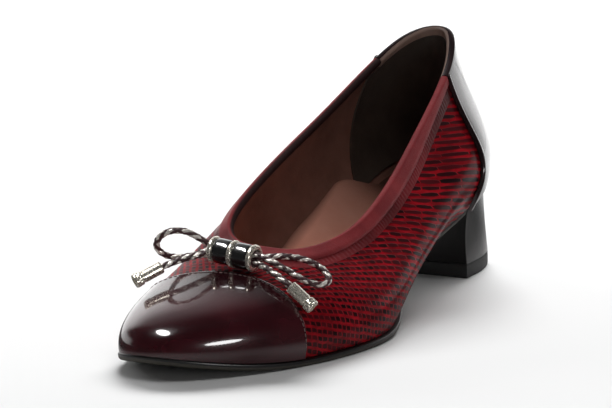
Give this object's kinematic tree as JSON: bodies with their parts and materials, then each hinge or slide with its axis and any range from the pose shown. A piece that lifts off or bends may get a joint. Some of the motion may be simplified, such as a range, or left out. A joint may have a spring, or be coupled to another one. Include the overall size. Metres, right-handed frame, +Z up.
{
  "type": "court shoe",
  "caption": "Left slip-on court shoe with a low block heel, contrasting patent toe cap and heel counter, bound collar and a flat cord bow through a small metal-ringed barrel.",
  "frame": {"origin": "middle of the heel's face on the floor", "axes": "+Z up, -Y towards the toe, +X towards the outer side of the foot"},
  "size_m": [0.0809, 0.2427, 0.0985],
  "materials": {
    "red_leather": "scale-embossed, semi-gloss",
    "dark_patent": "patent, high gloss",
    "red_binding": "smooth, satin",
    "sole_board": "matte",
    "black_patent": "patent cover over a block, gloss",
    "heel_rubber": "matte",
    "brown_lining": "smooth lining, matte",
    "silver_metal": "polished plating",
    "black_enamel": "gloss enamel",
    "braided_cord": "metallic braid with dark strands"
  },
  "bodies": {
    "root": {"upper": "red_leather", "toe_cap": "dark_patent", "heel_counter": "dark_patent", "topline_binding": "red_binding", "outsole": "sole_board", "heel": "black_patent", "heel_top_piece": "heel_rubber", "insole": "brown_lining", "bow_ring_1": "silver_metal", "bow_ring_2": "silver_metal", "bow_ring_3": "silver_metal", "bow_drum_1": "black_enamel", "bow_drum_2": "black_enamel", "bow_cord": "braided_cord", "cord_end_outer": "silver_metal", "cord_end_inner": "silver_metal"}
  },
  "joints": []
}
